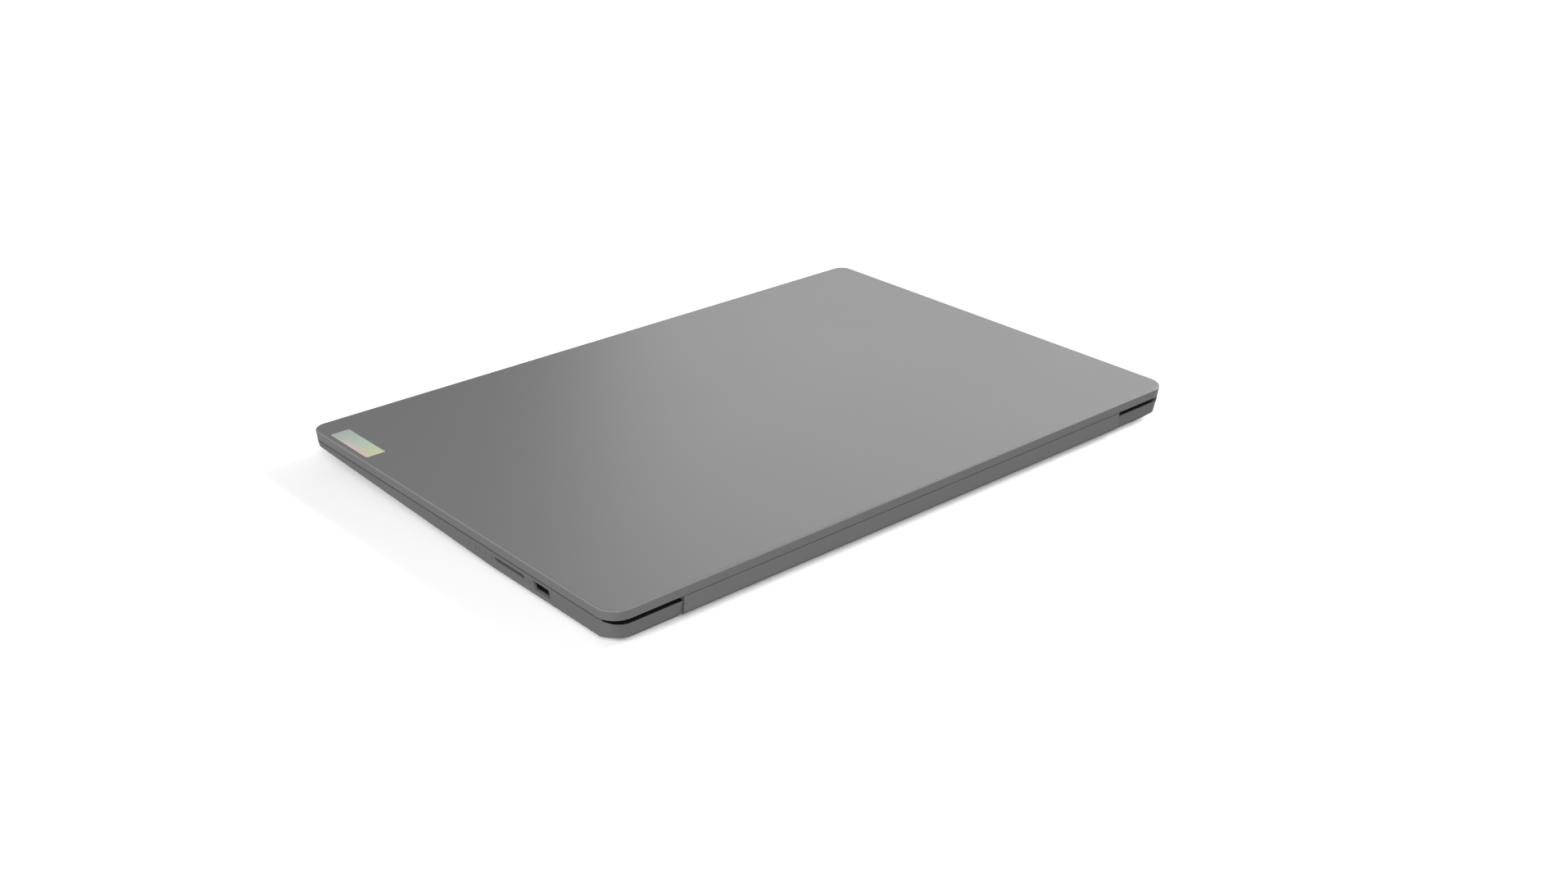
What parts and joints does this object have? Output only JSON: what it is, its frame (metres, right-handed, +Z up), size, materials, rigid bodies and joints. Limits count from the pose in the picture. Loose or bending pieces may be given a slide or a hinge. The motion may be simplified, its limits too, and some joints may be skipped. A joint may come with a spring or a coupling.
{
  "type": "laptop computer",
  "caption": "Closed grey laptop computer: hinged lid with inlaid badge and rear hinge cover, wedge base with side sockets, keyboard, touchpad, fan and feet.",
  "frame": {"origin": "on the table under the middle of the closed machine", "axes": "+X to the user's right, +Y to the hinge side, +Z up"},
  "size_m": [0.3988, 0.2738, 0.0199],
  "materials": {
    "painted_plastic": "fine satin grey paint",
    "underside_plastic": "fine textured grey plastic",
    "rubber": "matte",
    "key_plastic": "satin",
    "touchpad_surface": "smooth satin",
    "bezel_plastic": "fine matte",
    "screen": "anti-glare panel",
    "lens_glass": "polished",
    "badge_film": "iridescent film",
    "steel": "plated",
    "circuit_board": "solder mask",
    "chip": "dark package",
    "copper": "brushed",
    "aluminium": "stamped",
    "black_plastic": "moulded",
    "battery_wrap": "wrapped foil cells",
    "lamp": "diffusing"
  },
  "bodies": {
    "base": {"audio_jack": "black_plastic", "battery_pack": "battery_wrap", "bottom_cover": "underside_plastic", "bottom_screws": "steel", "card_reader": "steel", "fan_housing": "black_plastic", "front_feet": "rubber", "hdmi_socket": "steel", "heat_pipe": "copper", "heatsink_fins": "aluminium", "hinge_bracket_left": "steel", "hinge_bracket_right": "steel", "io_board": "circuit_board", "keyboard_membrane": "black_plastic", "keyboard_plate": "steel", "memory_module": "circuit_board", "motherboard": "circuit_board", "power_inlet": "black_plastic", "processor": "chip", "rear_foot": "rubber", "ribbon_cables": "black_plastic", "speaker_left": "black_plastic", "speaker_right": "black_plastic", "ssd_module": "circuit_board", "status_lights": "lamp", "top_cover": "painted_plastic", "touchpad_bracket": "steel", "usb_c_socket": "steel", "usb_socket_right": "steel", "usb_sockets_left": "steel", "wifi_card": "circuit_board"},
    "lid": {"lid_cover": "painted_plastic", "lid_badge": "badge_film", "screen_bezel": "bezel_plastic", "display_panel": "screen", "hinge_cover": "painted_plastic", "hinge_arm_left": "steel", "hinge_arm_right": "steel", "hinge_shaft_left": "steel", "hinge_shaft_right": "steel", "camera_board": "circuit_board", "camera_lens": "lens_glass", "antennas": "aluminium", "bezel_bumpers": "rubber", "display_cable": "black_plastic"},
    "fan_rotor": {"fan_rotor": "black_plastic"},
    "power_button": {"power_button": "painted_plastic"},
    "touchpad": {"touchpad": "touchpad_surface"},
    "camera_shutter": {"camera_shutter": "bezel_plastic"},
    "function_keys": {"function_keys": "key_plastic"},
    "number_keys": {"number_keys": "key_plastic"},
    "upper_letter_keys": {"upper_letter_keys": "key_plastic"},
    "home_letter_keys": {"home_letter_keys": "key_plastic"},
    "enter_key": {"enter_key": "key_plastic"},
    "lower_letter_keys": {"lower_letter_keys": "key_plastic"},
    "modifier_keys": {"modifier_keys": "key_plastic"},
    "space_bar": {"space_bar": "key_plastic"},
    "arrow_keys": {"arrow_keys": "key_plastic"},
    "number_pad_keys": {"number_pad_keys": "key_plastic"}
  },
  "joints": [
    {"name": "lid_hinge", "type": "hinge", "parent": "base", "child": "lid", "pos_m": [0, 0.1334, 0.0096], "axis": [-1, 0, 0], "range_deg": [0, 135]},
    {"name": "fan_spin", "type": "hinge", "parent": "base", "child": "fan_rotor", "pos_m": [0.091, 0.076, 0.0065], "axis": [0, 0, 1], "continuous": true},
    {"name": "touchpad_click", "type": "hinge", "parent": "base", "child": "touchpad", "pos_m": [-0.033, -0.04335, 0.0135], "axis": [1, 0, 0], "range_deg": [0, 0.4], "stiffness_Nm_per_rad": 3, "springref_deg": -1.15},
    {"name": "power_button_press", "type": "slide", "parent": "base", "child": "power_button", "axis": [0, 0, -1], "range_m": [0, 0.0004], "stiffness_N_per_m": 1500, "springref_m": -0.0004},
    {"name": "camera_shutter_slide", "type": "slide", "parent": "lid", "child": "camera_shutter", "axis": [-1, 0, 0], "range_m": [0, 0.005]},
    {"name": "function_keys_press", "type": "slide", "parent": "base", "child": "function_keys", "axis": [0, 0, -1], "range_m": [0, 0.0014], "stiffness_N_per_m": 400, "springref_m": -0.001},
    {"name": "number_keys_press", "type": "slide", "parent": "base", "child": "number_keys", "axis": [0, 0, -1], "range_m": [0, 0.0014], "stiffness_N_per_m": 400, "springref_m": -0.001},
    {"name": "upper_letter_keys_press", "type": "slide", "parent": "base", "child": "upper_letter_keys", "axis": [0, 0, -1], "range_m": [0, 0.0014], "stiffness_N_per_m": 400, "springref_m": -0.001},
    {"name": "home_letter_keys_press", "type": "slide", "parent": "base", "child": "home_letter_keys", "axis": [0, 0, -1], "range_m": [0, 0.0014], "stiffness_N_per_m": 400, "springref_m": -0.001},
    {"name": "enter_key_press", "type": "slide", "parent": "base", "child": "enter_key", "axis": [0, 0, -1], "range_m": [0, 0.0014], "stiffness_N_per_m": 400, "springref_m": -0.001},
    {"name": "lower_letter_keys_press", "type": "slide", "parent": "base", "child": "lower_letter_keys", "axis": [0, 0, -1], "range_m": [0, 0.0014], "stiffness_N_per_m": 400, "springref_m": -0.001},
    {"name": "modifier_keys_press", "type": "slide", "parent": "base", "child": "modifier_keys", "axis": [0, 0, -1], "range_m": [0, 0.0014], "stiffness_N_per_m": 400, "springref_m": -0.001},
    {"name": "space_bar_press", "type": "slide", "parent": "base", "child": "space_bar", "axis": [0, 0, -1], "range_m": [0, 0.0014], "stiffness_N_per_m": 400, "springref_m": -0.001},
    {"name": "arrow_keys_press", "type": "slide", "parent": "base", "child": "arrow_keys", "axis": [0, 0, -1], "range_m": [0, 0.0014], "stiffness_N_per_m": 400, "springref_m": -0.001},
    {"name": "number_pad_keys_press", "type": "slide", "parent": "base", "child": "number_pad_keys", "axis": [0, 0, -1], "range_m": [0, 0.0014], "stiffness_N_per_m": 400, "springref_m": -0.001}
  ]
}
